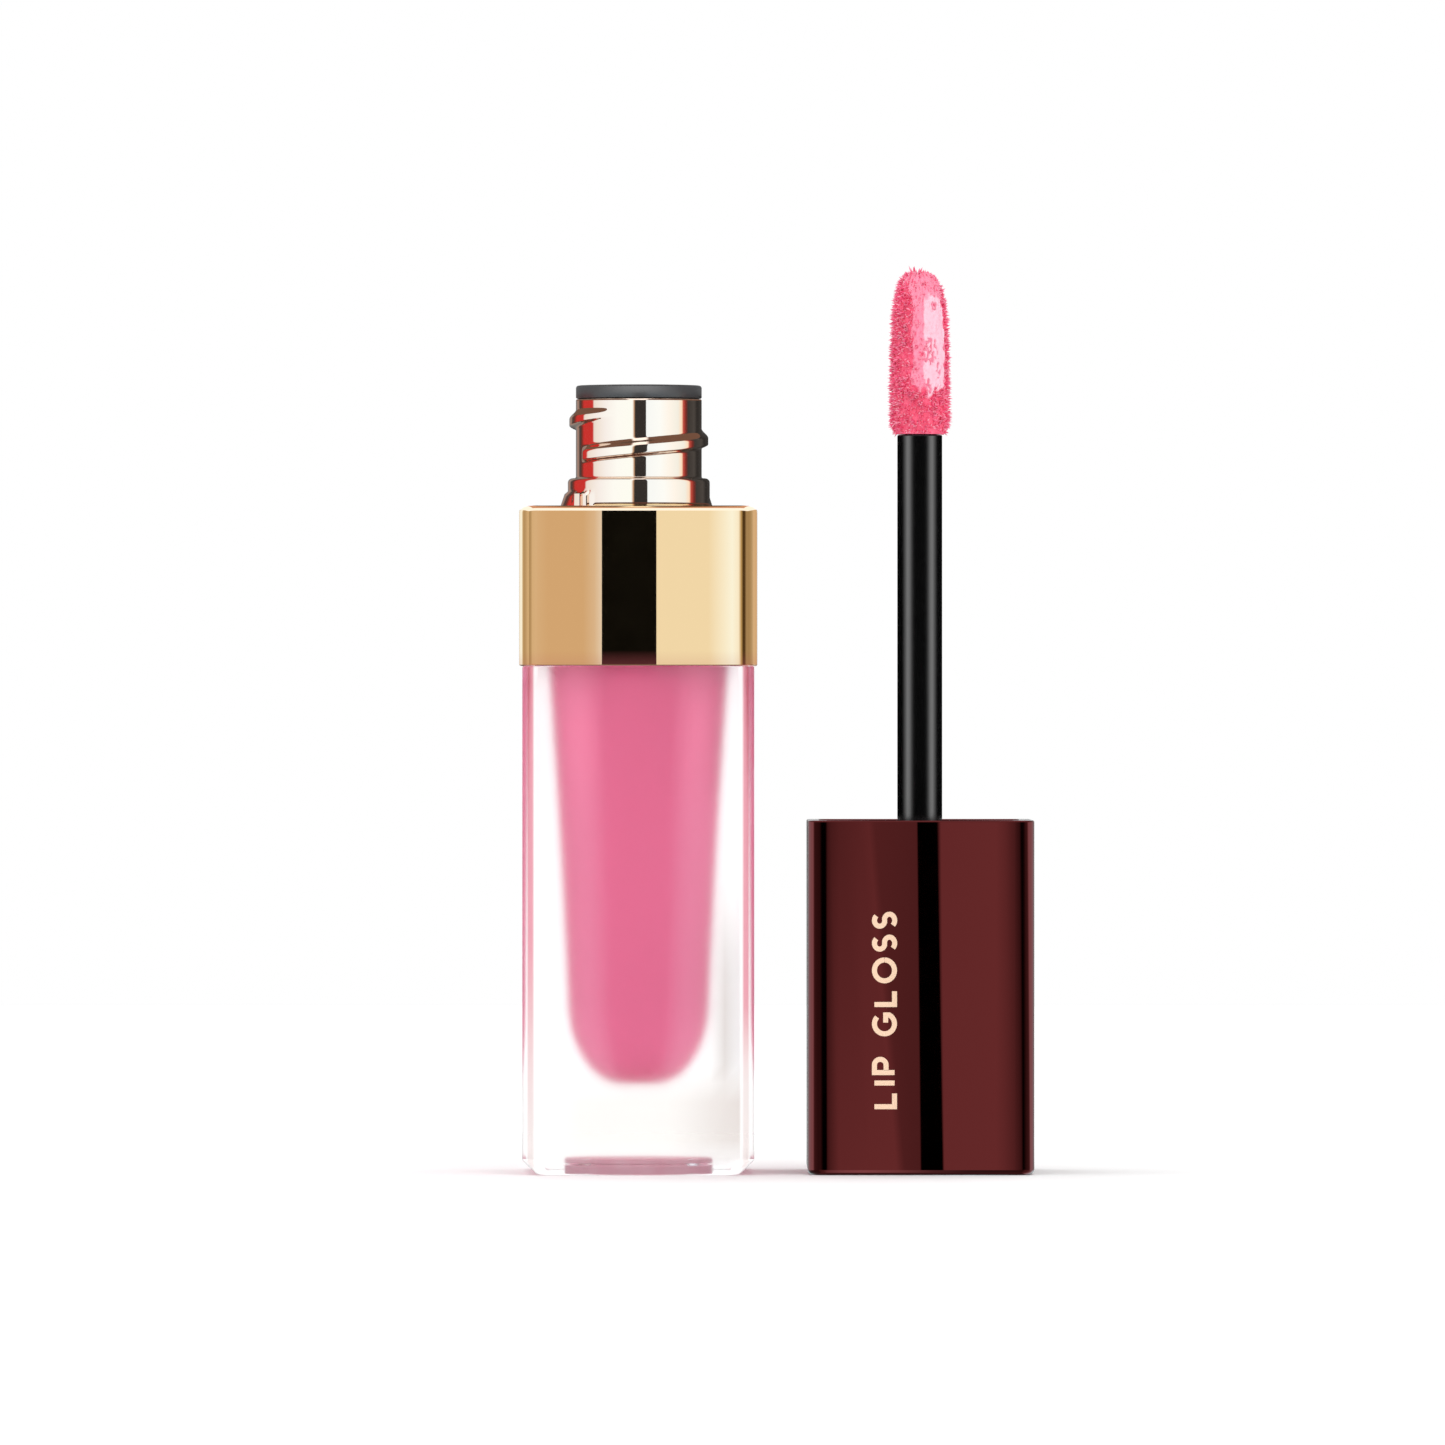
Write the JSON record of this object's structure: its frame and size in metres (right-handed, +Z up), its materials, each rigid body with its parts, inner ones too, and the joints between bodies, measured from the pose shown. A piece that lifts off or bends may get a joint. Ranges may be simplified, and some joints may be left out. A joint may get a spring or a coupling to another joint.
{
  "type": "lip gloss tube",
  "caption": "Square thick-walled lip gloss bottle with a gold collar and plated screw neck, open beside its square cap, which stands on its end with the flocked wand pointing up.",
  "frame": {"origin": "centre of the bounding box of the bottle and the applicator standing side by side, on the surface they stand on", "axes": "+Z up along both axes of the halves, -Y is the front, +X runs from the bottle to the applicator"},
  "size_m": [0.0412, 0.019, 0.0725],
  "materials": {
    "clear_wall": "thick clear wall with a fine satin frost",
    "rose_gold_plating": "mirror-bright pale rose gold plating",
    "pale_gold_plating": "bright gold plating",
    "wiper_rubber": "satin dark grey",
    "pink_gloss": "creamy pink liquid",
    "base_plastic": "plain matt pink plastic, with no print",
    "maroon_lacquer": "deep maroon high-gloss lacquer",
    "liner_plastic": "as moulded",
    "washer_foam": "closed-cell foam",
    "black_plastic": "polished black",
    "tip_rubber": "as moulded",
    "pink_flock": "short dense flock, soaked pink",
    "wet_gloss": "wet film"
  },
  "bodies": {
    "bottle": {"bottle_body": "clear_wall", "threaded_neck": "rose_gold_plating", "gold_collar": "pale_gold_plating", "wiper": "wiper_rubber", "gloss_fill": "pink_gloss", "base_plug": "base_plastic"},
    "washer": {"seal_washer": "washer_foam"},
    "applicator": {"overcap": "maroon_lacquer", "inner_cap": "liner_plastic", "stem": "black_plastic", "tip_core": "tip_rubber", "flocking": "pink_flock", "gloss_coat": "wet_gloss"}
  },
  "joints": [
    {"name": "applicator_turn_over", "type": "hinge", "parent": "bottle", "child": "washer", "pos_m": [0.00022, 0, 0.0686], "axis": [0, -1, 0], "range_deg": [0, 180]},
    {"name": "cap_twist", "type": "hinge", "parent": "washer", "child": "applicator", "pos_m": [0.0115, 0, 0.02], "axis": [0, 0, 1], "continuous": true}
  ]
}
